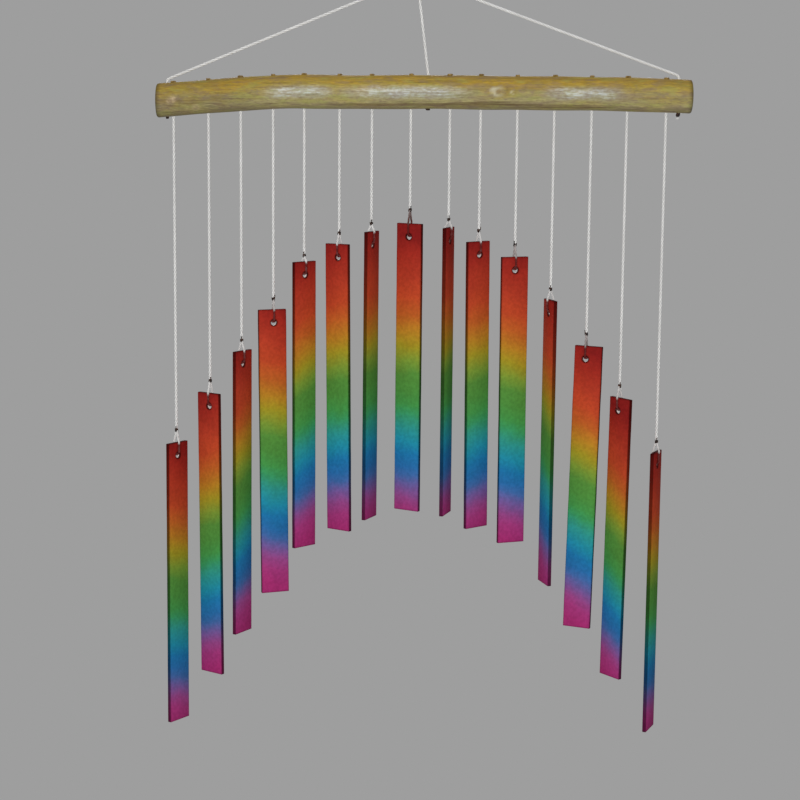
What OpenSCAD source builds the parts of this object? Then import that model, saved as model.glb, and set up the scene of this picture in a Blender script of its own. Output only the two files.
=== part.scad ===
// Glass wind chime: fifteen painted glass strips on cords, hung in an arch from a peeled branch.
// The origin is the centre of the hanging ring. X runs along the branch, Y away from the viewer, Z up.
// All sizes are in millimetres.

/* [Glass strips] */
// Length of each glass strip
strip_len = 220; // [150:1:280]
// Width of each glass strip
strip_w = 21.5; // [16:0.5:30]
// Thickness of the sheet glass
strip_t = 3; // [2:0.5:5]
// Bevel ground along every edge of the glass
strip_arris = 0.4; // [0.1:0.1:0.8]
// Depth of the cord hole's centre below the top edge
hole_drop = 10; // [7:0.5:16]
// How much wider the cord hole is than the cord
hole_clear = 2.8; // [0.6:0.1:3.4]
// Least gap between neighbouring strips while they turn
turn_gap = 0.4; // [0.2:0.1:6]

/* [Cords] */
// Thickness of the twisted cord
cord_d = 1.6; // [1:0.1:2.4]
// Drop from the branch to the top edge of the middle strip
centre_drop = 85; // [60:1:140]
// Tightest bend of a suspension cord, in cord diameters
cord_bend = 2; // [1.5:0.25:3]
// Gap round each cord where it passes a strip's face or hangs from a bore
cord_clear = 0.3; // [0.2:0.05:0.6]

/* [Knots] */
// How far a knot on top of the branch reaches past its bore
top_knot_lip = 1.2; // [0.5:0.1:2]
// Height of a knot on top of the branch
top_knot_h = 1.5; // [1:0.1:3]
// How far a suspension knot under the branch reaches past its bore
low_knot_lip = 0.7; // [0.4:0.1:2]
// Height of a suspension knot under the branch
low_knot_h = 3.2; // [2:0.1:6]
// Height of the knot that closes the loop on each strip
tie_knot_h = 3; // [2:0.1:4]
// Diameter of the knot that gathers the suspension cords
gather_knot_d = 8.4; // [6:0.2:14]
// Gap under a knot where it seats on wood or meets the next length of cord
knot_seat = 0.1; // [0.05:0.05:0.3]

/* [Branch] */
// Thickness of the peeled branch
beam_d = 25; // [18:0.5:40]
// Length of branch past the left suspension cord
overhang_left = 7.7; // [6:0.1:40]
// Length of branch past the right suspension cord
overhang_right = 9.7; // [6:0.1:40]
// Tilt of the branch in degrees, right end up
beam_tilt = 0.2; // [-2:0.1:2]
// How far the left end droops below the middle
droop_left = 7; // [0:0.5:12]
// Length of the bent stretch at the left end
bend_left = 107; // [60:1:150]
// How far the right end droops below the middle
droop_right = 2; // [0:0.5:12]
// Length of the bent stretch at the right end
bend_right = 115; // [60:1:150]
// Natural unevenness of the branch's surface
beam_wobble = 0.25; // [0:0.05:0.5]
// Rounding of the sawn ends
end_round = 1.6; // [0.5:0.1:3]
// How much wider the bores in the branch are than the cord
bore_clear = 0.6; // [0.3:0.1:1.2]

/* [Suspension] */
// Height of the gathering knot above the branch's centre line
gather_rise = 84; // [60:1:200]
// Gap between the left suspension cord and the first knot on the branch
sus_gap_left = 1.5; // [1.5:0.1:20]
// Gap between the right suspension cord and the last knot on the branch
sus_gap_right = 5.7; // [1.5:0.1:20]
// Shift of the centre suspension cord from midway between the two middle chimes
sus_mid_shift = -2; // [-4:0.1:4]
// Inside diameter of the hanging ring
ring_inner_d = 20; // [14:0.5:40]
// Thickness of the ring's wire
ring_wire = 2; // [1.5:0.1:4]
// Length of the loop from the ring's wire down to the gathering knot
loop_len = 10; // [8:0.5:30]

/* [Hidden] */
count = 15;
// How much lower each strip hangs than the middle one
drop_more = [162, 126, 95, 65, 29, 15.5, 6, 0, 3, 13, 24.5, 56.5, 91.5, 130.5, 171.5];
// Turn of each strip about its cord, in degrees
yaw = [55, -37, 60, 19, 45, -36, 67, -31, 72, 39, 20, -73, -21, -52, 67];
// Lean of each strip in its own plane, in degrees, from a hole bored off centre
lean = [-0.2, 0.5, -0.4, 0.6, 0, 0.7, -0.4, -0.1, 0, 0.4, 0.1, -0.2, -1.2, -1, 0];
// Spacing added between each strip and the next
gap_more = [2.6, 0.3, 0.1, 0, 2.9, 0, 5.9, 6.8, 0, 4.3, 4.8, 3, 0, 5];
// Height of each strip's knot above its top edge
knot_rise = [9.5, 9.5, 8, 8, 4.5, 8, 6, 10, 6, 8, 9, 8, 9, 9, 8];
// Densities in grams per cubic millimetre, which set the balance point
glass_density = 0.0025;
wood_density = 0.00065;

cord_r = cord_d / 2;
bore_d = cord_d + bore_clear;
hole_d = cord_d + hole_clear;
top_knot_d = bore_d + 2 * top_knot_lip;
low_knot_d = bore_d + 2 * low_knot_lip;
tie_knot_d = 2 * cord_d + 2 * knot_seat;
round_fn = 48;
tube_sides = 8;
beam_sides = 20;
beam_rings = 40;

ring_r = (ring_inner_d + ring_wire) / 2;
ring_low = -ring_r;
gather_z = ring_low - loop_len - gather_knot_d / 2;
beam_z = gather_z - gather_rise;

function total(v, n, k = 0) = k >= n ? 0 : v[k] + total(v, n, k + 1);
function unit(v) = v / norm(v);
function two_digits(k) = k < 10 ? str("0", k) : str(k);

// Spacing along the branch: each strip's turning circle clears the next one's
function turn_r(i) = norm([strip_w / 2 + strip_len / 2 * tan(abs(lean[i])), strip_t / 2]);
pitches = [for (i = [0:count - 2]) turn_r(i) + turn_r(i + 1) + turn_gap + gap_more[i]];
row_x = [for (i = [0:count - 1]) total(pitches, i)];
sus_left_out = top_knot_d / 2 + cord_r + sus_gap_left;
sus_right_out = top_knot_d / 2 + cord_r + sus_gap_right;
row_left = -sus_left_out - overhang_left;
row_right = row_x[count - 1] + sus_right_out + overhang_right;
beam_len = row_right - row_left;

// The ring hangs over the balance point of the glass and the wood
strip_mass = glass_density * strip_len * strip_w * strip_t;
beam_mass = wood_density * beam_len * PI * beam_d * beam_d / 4;
balance = (strip_mass * total(row_x, count) + beam_mass * (row_left + row_right) / 2)
    / (count * strip_mass + beam_mass);
chime_x = [for (x = row_x) x - balance];
beam_left = row_left - balance;
beam_right = row_right - balance;
sus_x = [
    chime_x[0] - sus_left_out,
    (chime_x[7] + chime_x[8]) / 2 + sus_mid_shift,
    chime_x[count - 1] + sus_right_out
];

// Centre line, radius, top and underside of the branch at a place along it
function bend(s) = s <= 0 ? 0 : pow(s, 1.3);
function beam_mid(x) = beam_z + x * tan(beam_tilt)
    - droop_left * bend((beam_left + bend_left - x) / bend_left)
    - droop_right * bend((x - beam_right + bend_right) / bend_right);
function beam_rad(x, a) = beam_d / 2
    + beam_wobble * (sin(2.7 * x + 40) * cos(a - 60) + 0.5 * sin(6.1 * x) * cos(2 * a));
function beam_top(x) = beam_mid(x) + beam_rad(x, 90);
function beam_low(x) = beam_mid(x) - beam_rad(x, 270);

// Heights along each chime, from its pivot under the branch down to its hole
function pivot_z(i) = beam_low(chime_x[i]) - cord_clear - cord_r;
function strip_top(i) = beam_low(chime_x[i]) - centre_drop - drop_more[i];
function tie_z(i) = strip_top(i) + knot_rise[i];
function hole_z(i) = strip_top(i) - hole_drop;
function hole_shift(i) = (strip_len / 2 - hole_drop) * tan(lean[i]);

// Rings of points swept along a flat path; side is the direction square to the path's plane
function heading(p, k) = unit(p[min(k + 1, len(p) - 1)] - p[max(k - 1, 0)]);
function tube_points(p, r, side) = [
    for (k = [0:len(p) - 1], j = [0:tube_sides - 1])
        let (a = 360 * j / tube_sides)
        p[k] + r * (cos(a) * cross(side, heading(p, k)) + sin(a) * side)
];
function tube_faces(rings, sides) = concat(
    [for (j = [1:sides - 2]) [0, j, j + 1]],
    [
        for (k = [0:rings - 2], j = [0:sides - 1], half = [0, 1])
            let (a = k * sides + j, b = k * sides + (j + 1) % sides)
            half == 0 ? [a, a + sides, b] : [b, a + sides, b + sides]
    ],
    [for (j = [1:sides - 2]) let (e = (rings - 1) * sides) [e, e + j + 1, e + j]]
);

module tube(path, r, side) {
    polyhedron(tube_points(path, r, side), tube_faces(len(path), tube_sides));
}

// A knot as two wraps of cord round its middle, centred on its height
module knot(d, h) {
    rotate_extrude($fn = round_fn)
        polygon(knot_outline(d / 2, h));
}

function knot_outline(r, h) = [
    [0, -h / 2], [0.62 * r, -h / 2], [r, -0.27 * h], [0.86 * r, 0],
    [r, 0.27 * h], [0.62 * r, h / 2], [0, h / 2]
];

module bores() {
    for (x = concat(chime_x, sus_x))
        translate([x, 0, beam_mid(x) - beam_d])
            cylinder(d = bore_d, h = 2 * beam_d, $fn = round_fn);
}

// Places along the branch and how far its surface draws in there to round the sawn ends
function beam_stations() = concat(
    [for (a = [0, 30, 60, 90]) [beam_left + end_round * (1 - cos(a)), end_round * (1 - sin(a))]],
    [
        for (k = [1:beam_rings])
            [beam_left + end_round + (beam_len - 2 * end_round) * k / (beam_rings + 1), 0]
    ],
    [for (a = [90, 60, 30, 0]) [beam_right - end_round * (1 - cos(a)), end_round * (1 - sin(a))]]
);

module beam() {
    stations = beam_stations();
    points = [
        for (s = stations, j = [0:beam_sides - 1])
            let (a = 360 * j / beam_sides, r = beam_rad(s[0], a) - s[1])
            [s[0], r * cos(a), beam_mid(s[0]) + r * sin(a)]
    ];
    color([0.66, 0.54, 0.24])
        difference() {
            polyhedron(points, tube_faces(len(stations), beam_sides));
            bores();
        }
}

module hanging_ring() {
    color([0.75, 0.76, 0.78])
        rotate([90, 0, 0])
            rotate_extrude($fn = round_fn)
                translate([ring_r, 0])
                    circle(d = ring_wire, $fn = round_fn);
}

// The loop passes through the ring, and its two legs close on a collar over the gathering knot
module hanging_loop() {
    wrap_r = ring_wire / 2 + cord_clear + cord_r;
    collar_h = loop_len / 3;
    collar_z = ring_low - loop_len + knot_seat;
    arc = [for (a = [-20:20:200]) [0, wrap_r * cos(a), ring_low + wrap_r * sin(a)]];
    foot = cord_r + knot_seat;
    path = concat(
        [[0, foot, collar_z + collar_h / 2], [0, foot, collar_z + collar_h]],
        arc,
        [[0, -foot, collar_z + collar_h], [0, -foot, collar_z + collar_h / 2]]
    );
    color([0.93, 0.92, 0.9]) {
        tube(path, cord_r, [1, 0, 0]);
        translate([0, 0, collar_z + collar_h / 2])
            knot(tie_knot_d + 2 * knot_seat, collar_h);
    }
}

module gather_knot() {
    color([0.93, 0.92, 0.9])
        translate([0, 0, gather_z])
            sphere(d = gather_knot_d, $fn = round_fn);
}

// Up through the branch, round the edge of the bore and straight to the gathering knot
module suspension_cord(k) {
    x = sus_x[k];
    toward = x < 0 ? 1 : -1;
    start = [x, 0, beam_low(x) - knot_seat];
    mouth = [x, 0, beam_top(x) + cord_clear];
    bend_r = cord_bend * cord_d;
    centre = [0, 0, gather_z];
    rise = atan2(centre[2] - mouth[2], abs(x));
    corner = [
        for (s = [0:0.25:1])
            let (a = s * (90 - rise))
            mouth + bend_r * [toward * (1 - cos(a)), 0, sin(a)]
    ];
    last = corner[len(corner) - 1];
    finish = centre - (gather_knot_d / 2 + knot_seat) * unit(centre - last);
    color([0.93, 0.92, 0.9])
        tube(concat([start], corner, [finish]), cord_r, [0, 1, 0]);
}

module suspension_cord_left() {
    suspension_cord(0);
}

module suspension_cord_centre() {
    suspension_cord(1);
}

module suspension_cord_right() {
    suspension_cord(2);
}

module suspension_knots() {
    color([0.25, 0.17, 0.11])
        for (x = sus_x)
            translate([x, 0, beam_low(x) - 2 * knot_seat - low_knot_h / 2])
                knot(low_knot_d, low_knot_h);
}

// Each knot seats on top of the branch, with its cord running down through the bore
module cord_top_knots() {
    color([0.25, 0.17, 0.11])
        for (i = [0:count - 1]) {
            x = chime_x[i];
            seat = beam_top(x) + knot_seat;
            stem = seat - pivot_z(i) - cord_r - 2 * knot_seat;
            outline = [for (p = knot_outline(top_knot_d / 2, top_knot_h)) p + [0, top_knot_h / 2]];
            translate([x, 0, seat])
                rotate_extrude($fn = round_fn)
                    polygon(concat(
                        [[0, -stem], [cord_r, -stem], [cord_r, 0]],
                        [for (k = [1:len(outline) - 1]) outline[k]]
                    ));
        }
}

// A straight length of cord with a round top end, on which it swings
module chime_cord(i) {
    low = tie_z(i) + tie_knot_h / 2 + knot_seat;
    tip = [for (a = [0:15:90]) [cord_r * cos(a), pivot_z(i) + cord_r * sin(a)]];
    color([0.93, 0.92, 0.9])
        translate([chime_x[i], 0, 0])
            rotate_extrude($fn = round_fn)
                polygon(concat([[0, low], [cord_r, low]], tip));
}

// The cord's end: a knot above the strip, and a loop down both faces and through the hole
module tied_loop(i) {
    leg = strip_t / 2 + cord_r + cord_clear / 2;
    corner_r = cord_r + 4 / 3 * cord_clear;
    inside = hole_z(i) + hole_d / 2 - cord_r - cord_clear / 3;
    knot_low = tie_z(i) - tie_knot_h / 2;
    shoulder = strip_top(i) + (knot_low - strip_top(i)) / 3;
    half = concat(
        [[0, cord_r, tie_z(i)], [0, cord_r, knot_low], [0, leg, shoulder]],
        [
            for (a = [0:30:90])
                [0, leg - corner_r * (1 - cos(a)), inside + corner_r * (1 - sin(a))]
        ]
    );
    back = [for (k = [len(half) - 1:-1:0]) [0, -half[k][1], half[k][2]]];
    color([0.45, 0.3, 0.24])
        translate([chime_x[i], 0, 0])
            rotate([0, 0, yaw[i]]) {
                tube(concat(half, back), cord_r, [1, 0, 0]);
                translate([0, 0, tie_z(i)])
                    knot(tie_knot_d, tie_knot_h);
            }
}

// A rectangle with its four corners cut off
module cut_rectangle(a, b, cut) {
    polygon([
        [cut - a / 2, -b / 2], [a / 2 - cut, -b / 2], [a / 2, cut - b / 2], [a / 2, b / 2 - cut],
        [a / 2 - cut, b / 2], [cut - a / 2, b / 2], [-a / 2, b / 2 - cut], [-a / 2, cut - b / 2]
    ]);
}

// A flat strip with bevelled edges, centred on its own middle
module glass_blank() {
    intersection() {
        linear_extrude(strip_len, center = true)
            cut_rectangle(strip_w, strip_t, strip_arris);
        rotate([90, 0, 0])
            linear_extrude(strip_t, center = true)
                cut_rectangle(strip_w, strip_len, strip_arris);
        rotate([90, 0, 90])
            linear_extrude(strip_w, center = true)
                cut_rectangle(strip_t, strip_len, strip_arris);
    }
}

// The strip leans about its hole until its middle hangs under the cord
module glass_strip(i) {
    color([0.3, 0.47, 0.4])
        translate([chime_x[i], 0, hole_z(i)])
            rotate([0, 0, yaw[i]])
                rotate([0, -lean[i], 0])
                    difference() {
                        translate([-hole_shift(i), 0, hole_drop - strip_len / 2])
                            glass_blank();
                        rotate([90, 0, 0])
                            cylinder(d = hole_d, h = 2 * strip_t, center = true, $fn = round_fn);
                    }
}

function chime_name(kind, i) = str(kind, "_", two_digits(i + 1));

beam();
hanging_ring();
hanging_loop();
gather_knot();
suspension_cord_left();
suspension_cord_centre();
suspension_cord_right();
suspension_knots();
cord_top_knots();
for (i = [0:count - 1]) {
    chime_cord(i);
    tied_loop(i);
    glass_strip(i);
}

// Where each joint turns, for the record
for (i = [0:count - 1])
    echo(chime = i + 1, x = chime_x[i], pivot = pivot_z(i), knot = tie_z(i) + tie_knot_h / 2);
echo(ring_low = ring_low, collar_low = ring_low - loop_len, beam_left = beam_left, beam_right = beam_right);
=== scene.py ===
"""The looks of a glass wind chime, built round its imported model.

Fifteen spray-painted glass strips hang on twisted cords from a peeled and varnished branch.
Three cords carry the branch to a knot, a loop and a small ring. All sizes are in metres.
"""

import logging
import math
from abc import ABC, abstractmethod
from dataclasses import dataclass
from enum import Enum
from functools import lru_cache, partial, reduce
from typing import Sequence

import bmesh
import bpy
from bpy.types import Material, Mesh, Node, NodeSocket as Socket, Object, World
from mathutils import Matrix, Vector, noise
from mathutils.kdtree import KDTree


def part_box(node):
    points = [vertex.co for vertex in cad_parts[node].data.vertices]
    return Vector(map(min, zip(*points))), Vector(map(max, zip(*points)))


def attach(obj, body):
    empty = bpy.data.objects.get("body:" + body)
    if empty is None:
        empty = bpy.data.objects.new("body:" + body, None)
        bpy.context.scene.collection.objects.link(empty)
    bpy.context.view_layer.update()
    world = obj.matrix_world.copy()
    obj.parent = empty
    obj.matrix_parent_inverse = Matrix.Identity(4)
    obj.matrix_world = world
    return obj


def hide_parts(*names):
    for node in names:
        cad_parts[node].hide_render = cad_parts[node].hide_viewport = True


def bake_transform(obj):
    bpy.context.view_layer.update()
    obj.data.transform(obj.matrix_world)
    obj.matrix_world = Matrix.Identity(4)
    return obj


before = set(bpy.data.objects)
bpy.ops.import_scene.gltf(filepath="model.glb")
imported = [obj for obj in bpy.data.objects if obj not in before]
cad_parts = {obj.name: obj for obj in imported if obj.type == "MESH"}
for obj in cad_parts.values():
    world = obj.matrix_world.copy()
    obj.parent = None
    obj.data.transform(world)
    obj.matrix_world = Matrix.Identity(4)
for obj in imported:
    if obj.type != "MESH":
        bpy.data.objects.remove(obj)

LOG = logging.getLogger("wind_chime")
IMAGE_PX = 800
SENSOR_MM = 36.0
MM = 0.001
SLIVER = 0.000001
KNOT_STEPS = 60
LUMPS = 1.7

Rgb = tuple[int, int, int]
Stops = tuple[tuple[float, Rgb], ...]
Xyz = tuple[float, float, float]
Line = list[Vector]
Part = tuple[Mesh, int]


def linear(colour: Rgb) -> tuple[float, float, float, float]:
    """Turns a screen colour into the shader's own scale.

    Args:
        colour: Red, green and blue from 0 to 255.

    Returns:
        The same colour as linear red, green, blue and alpha.
    """
    shares = [c / 255 for c in colour]
    straight = [s / 12.92 if s <= 0.04045 else ((s + 0.055) / 1.055) ** 2.4 for s in shares]
    return (straight[0], straight[1], straight[2], 1.0)


@lru_cache(maxsize=None)
def solid_box(node: str) -> tuple[Vector, Vector]:
    """A solid's lowest and highest corner, measured once."""
    low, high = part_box(node)
    return Vector(low), Vector(high)


def clamp(value: float, low: float = 0.0) -> float:
    """Keeps a value between a lowest value and 1."""
    return min(1.0, max(low, value))


def hump(value: float, middle: float, half: float) -> float:
    """A smooth hump that is 1 at a middle value and fades over a half width."""
    return math.exp(-(((value - middle) / half) ** 2))


# Sizes


@dataclass(frozen=True)
class Plan:
    """Sizes that several pieces share, as the solids have them."""

    strip_len: float = 0.220
    strip_w: float = 0.0215
    strip_t: float = 0.003
    strip_arris: float = 0.0004
    hole_drop: float = 0.010
    hole_d: float = 0.0044
    cord_d: float = 0.0016
    cord_clear: float = 0.0003
    cord_bend: float = 0.0032
    knot_seat: float = 0.0001
    tie_knot_d: float = 0.0034
    tie_knot_h: float = 0.003
    top_knot_d: float = 0.0046
    top_knot_h: float = 0.0015
    low_knot_d: float = 0.0036
    low_knot_h: float = 0.0032
    gather_knot_d: float = 0.0084
    gather_z: float = -0.0252
    bore_d: float = 0.0022
    beam_d: float = 0.025
    beam_z: float = -0.1092
    beam_tilt: float = 0.2
    beam_wobble: float = 0.00025
    end_round: float = 0.0016
    droop_left: float = 0.007
    bend_left: float = 0.107
    droop_right: float = 0.002
    bend_right: float = 0.115
    bend_power: float = 1.3
    ring_r: float = 0.011
    ring_wire: float = 0.002
    loop_len: float = 0.010

    @property
    def cord_r(self) -> float:
        """Half the cord's thickness."""
        return self.cord_d / 2

    def beam_mid(self, x: float) -> float:
        """Height of the branch's centre line.

        Args:
            x: Place along the branch.

        Returns:
            The height there.
        """
        low, high = solid_box("beam")
        left = max(0.0, (low.x + self.bend_left - x) / self.bend_left) ** self.bend_power
        right = max(0.0, (x - high.x + self.bend_right) / self.bend_right) ** self.bend_power
        rise = x * math.tan(math.radians(self.beam_tilt))
        return self.beam_z + rise - self.droop_left * left - self.droop_right * right

    def beam_rad(self, x: float, angle: float) -> float:
        """Radius of the branch.

        Args:
            x: Place along the branch.
            angle: Angle round it in degrees, from the back upwards.

        Returns:
            The radius there.
        """
        place = x / MM
        sway = math.sin(math.radians(2.7 * place + 40)) * math.cos(math.radians(angle - 60))
        ripple = 0.5 * math.sin(math.radians(6.1 * place)) * math.cos(math.radians(2 * angle))
        return self.beam_d / 2 + self.beam_wobble * (sway + ripple)

    def beam_top(self, x: float) -> float:
        """Height of the branch's upper side at a place along it."""
        return self.beam_mid(x) + self.beam_rad(x, 90)

    def beam_low(self, x: float) -> float:
        """Height of the branch's underside at a place along it."""
        return self.beam_mid(x) - self.beam_rad(x, 270)


PLAN = Plan()


@dataclass(frozen=True)
class Chime:
    """One strip and its cord: how it hangs, how its paint lies and how large its upper knot is."""

    number: int
    yaw: float
    lean: float
    knot_rise: float
    band_shift: float
    band_slip: float
    band_tilt: float
    stain: float
    top_knot: float

    @property
    def tag(self) -> str:
        """The chime's number in two digits."""
        return f"{self.number:02d}"

    @property
    def x(self) -> float:
        """The chime's place along the branch."""
        low, high = solid_box(f"chime_cord_{self.tag}")
        return (low.x + high.x) / 2

    @property
    def pivot_z(self) -> float:
        """Height of the point that the cord swings on."""
        return solid_box(f"chime_cord_{self.tag}")[1].z - PLAN.cord_r

    @property
    def knot_top(self) -> float:
        """Height of the upper side of the strip's knot."""
        return solid_box(f"chime_cord_{self.tag}")[0].z - PLAN.knot_seat

    @property
    def tie_z(self) -> float:
        """Height of the middle of the strip's knot."""
        return self.knot_top - PLAN.tie_knot_h / 2

    @property
    def strip_top(self) -> float:
        """Height of the strip's top edge over its hole."""
        return self.tie_z - self.knot_rise

    @property
    def hole_z(self) -> float:
        """Height of the strip's hole."""
        return self.strip_top - PLAN.hole_drop


CHIMES = (
    Chime(1, 55, -0.2, 9.5 * MM, 0.016, -0.011, 0.026, 0.05, 1.00),
    Chime(2, -37, 0.5, 9.5 * MM, -0.008, -0.021, -0.027, 0.10, 0.85),
    Chime(3, 60, -0.4, 8.0 * MM, -0.020, 0.0, -0.041, 0.15, 1.05),
    Chime(4, 19, 0.6, 8.0 * MM, -0.028, 0.0, 0.029, 0.40, 0.80),
    Chime(5, 45, 0.0, 4.5 * MM, -0.020, -0.011, -0.039, 0.05, 0.95),
    Chime(6, -36, 0.7, 8.0 * MM, -0.004, 0.0, -0.017, 0.15, 0.90),
    Chime(7, 67, -0.4, 6.0 * MM, 0.008, 0.019, -0.008, 0.05, 0.90),
    Chime(8, -31, -0.1, 10.0 * MM, 0.044, 0.009, 0.006, 1.00, 0.85),
    Chime(9, 72, 0.0, 6.0 * MM, 0.021, 0.010, -0.020, 0.20, 1.00),
    Chime(10, 39, 0.4, 8.0 * MM, 0.008, 0.009, -0.021, 0.20, 0.95),
    Chime(11, 20, 0.1, 9.0 * MM, -0.008, 0.009, 0.026, 0.60, 0.85),
    Chime(12, -73, -0.2, 8.0 * MM, -0.015, 0.025, 0.051, 0.15, 1.00),
    Chime(13, -21, -1.2, 9.0 * MM, 0.0, -0.031, 0.043, 0.65, 0.85),
    Chime(14, -52, -1.0, 9.0 * MM, 0.024, -0.041, 0.055, 0.30, 1.05),
    Chime(15, 67, 0.0, 8.0 * MM, 0.008, 0.0, 0.008, 0.20, 1.00),
)


class Side(Enum):
    """The three cords that carry the branch, with their node names."""

    LEFT = "suspension_cord_left"
    CENTRE = "suspension_cord_centre"
    RIGHT = "suspension_cord_right"

    @property
    def x(self) -> float:
        """Place of the cord's bore along the branch."""
        low, high = solid_box(self.value)
        return high.x - PLAN.cord_r if high.x > -low.x else low.x + PLAN.cord_r

    @property
    def snug(self) -> tuple[float, float]:
        """How wide and how high the cord's lower knot is pulled, as shares of the full knot."""
        return {Side.LEFT: (0.75, 0.6), Side.CENTRE: (1.0, 0.5), Side.RIGHT: (0.95, 1.0)}[self]


# Finishes


class Nodes:
    """A node tree, with short calls that add and join nodes."""

    def __init__(self, owner: Material | World) -> None:
        """Opens the node tree of a material or a room."""
        owner.use_nodes = True
        self.tree = owner.node_tree

    def feed(self, socket: Socket, value: object) -> None:
        """Joins a socket to another, or sets its value.

        Args:
            socket: The input.
            value: An output socket or a plain value.
        """
        if isinstance(value, Socket):
            self.tree.links.new(value, socket)
        else:
            socket.default_value = value

    def node(self, kind: str, *values: object, **settings: object) -> Node:
        """Adds a node.

        Args:
            kind: Blender's name for the node's type, without its prefix.
            *values: What feeds its first inputs, in order.
            **settings: Properties to set on it.

        Returns:
            The new node.
        """
        made = self.tree.nodes.new("ShaderNode" + kind)
        for key, value in settings.items():
            setattr(made, key, value)
        for socket, value in zip(made.inputs, values):
            self.feed(socket, value)
        return made

    def calc(self, operation: str, a: object, b: object = 0.0) -> Socket:
        """The result of one of Blender's sums on two values or sockets."""
        return self.node("Math", a, b, operation=operation).outputs[0]

    def plus(self, *values: object) -> Socket:
        """The sum of values or sockets."""
        return reduce(partial(self.calc, "ADD"), values)

    def times(self, *values: object) -> Socket:
        """The product of values or sockets."""
        return reduce(partial(self.calc, "MULTIPLY"), values)

    def most(self, *values: object) -> Socket:
        """The largest of values or sockets."""
        return reduce(partial(self.calc, "MAXIMUM"), values)


class Shader(Nodes):
    """A material with one main shader."""

    def __init__(self, name: str) -> None:
        """Starts the material.

        Args:
            name: The material's name.
        """
        self.material = bpy.data.materials.new(name)
        super().__init__(self.material)
        self.main = self.tree.nodes["Principled BSDF"]
        self._coords = self.node("TexCoord").outputs["Object"]

    def set(self, **values: object) -> None:
        """Feeds the main shader's inputs, named with _ for each space."""
        for key, value in values.items():
            self.feed(self.main.inputs[key.replace("_", " ")], value)

    def place(self, scale: Xyz) -> Socket:
        """Object coordinates, stretched.

        Args:
            scale: Repeats for each metre along X, Y and Z.

        Returns:
            The stretched coordinates.
        """
        made = self.node("Mapping", self._coords)
        made.inputs["Scale"].default_value = scale
        return made.outputs["Vector"]

    def axis(self, name: str) -> Socket:
        """One of the object coordinates, X, Y or Z."""
        return self.node("SeparateXYZ", self._coords).outputs[name]

    def attribute(self, name: str) -> Socket:
        """A number stored on the piece's points."""
        return self.node("Attribute", attribute_name=name).outputs["Fac"]

    def layer(self, name: str) -> tuple[Socket, Socket]:
        """The two numbers of one of the piece's UV layers."""
        made = self.node("SeparateXYZ", self.node("UVMap", uv_map=name).outputs[0])
        return made.outputs[0], made.outputs[1]

    def grain(self, scale: Xyz, detail: float = 3.0) -> Socket:
        """Noise, stretched along the axes.

        Args:
            scale: Repeats for each metre along X, Y and Z.
            detail: How many finer layers it has.

        Returns:
            The noise, from 0 to 1.
        """
        made = self.node("TexNoise", self.place(scale))
        made.inputs["Scale"].default_value = 1.0
        made.inputs["Detail"].default_value = detail
        return made.outputs[0]

    def span(self, value: object, low: float, high: float, first: float = 0.0, last: float = 1.0) -> Socket:
        """Moves a value smoothly from one range, low to high, to another, first to last."""
        ends = (low, high, first, last)
        return self.node("MapRange", value, *ends, interpolation_type="SMOOTHSTEP").outputs[0]

    def belt(self, value: object, middle: float, half: float, soft: float) -> Socket:
        """A mask that is 1 within half of a middle value and falls softly to 0 on both sides."""
        away = self.calc("ABSOLUTE", self.calc("SUBTRACT", value, middle))
        return self.span(away, half, half + soft, 1.0, 0.0)

    def mix(self, share: object, a: object, b: object, blend: str = "MIX") -> Socket:
        """Mixes two colours.

        Args:
            share: How much of the second.
            a: First colour or socket.
            b: Second colour or socket.
            blend: Blender's name for the way of mixing.

        Returns:
            The mixed colour.
        """
        made = self.node("Mix", data_type="RGBA", blend_type=blend)
        for key, value in ((0, share), (6, a), (7, b)):
            self.feed(made.inputs[key], value)
        return made.outputs[2]

    def glaze(self, colour: object, share: object, over: Rgb) -> Socket:
        """Lays a share of a screen colour over a colour."""
        return self.mix(share, colour, linear(over))

    def between(self, value: object, low: float, high: float, first: Rgb, last: Rgb) -> Socket:
        """Moves from one screen colour to another as a value moves from low to high."""
        return self.mix(self.span(value, low, high), linear(first), linear(last))

    def tone(
        self, colour: object, value: object, low: float, high: float, first: float, last: float
    ) -> Socket:
        """Makes a colour darker or lighter, from first to last, as a value moves from low to high."""
        grey = self.node("CombineXYZ", *[self.span(value, low, high, first, last)] * 3)
        return self.mix(1.0, colour, grey.outputs[0], "MULTIPLY")

    def ramp(self, value: object, stops: Stops) -> Socket:
        """A row of colours.

        Args:
            value: Place in the row.
            stops: Each colour's place and screen colour.

        Returns:
            The colour.
        """
        made = self.node("ValToRGB", value)
        row = made.color_ramp.elements
        while len(row) < len(stops):
            row.new(1.0)
        for element, (place, colour) in zip(row, stops):
            element.position = place
            element.color = linear(colour)
        return made.outputs[0]

    def bump(self, height: Socket, depth: float, strength: float) -> None:
        """Gives the surface a fine relief.

        Args:
            height: The relief from 0 to 1.
            depth: Its depth in metres.
            strength: How much of it shows.
        """
        made = self.node("Bump")
        for key, value in (("Strength", strength), ("Distance", depth), ("Height", height)):
            self.feed(made.inputs[key], value)
        self.feed(self.main.inputs["Normal"], made.outputs[0])


class Finish(ABC):
    """A material that is built from its own colours and sizes."""

    name: str

    def make(self) -> Material:
        """Builds the material.

        Returns:
            The finished material.
        """
        shader = Shader(self.name)
        self.dress(shader)
        return shader.material

    @abstractmethod
    def dress(self, s: Shader) -> None:
        """Joins the material's nodes, given its shader."""


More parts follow.
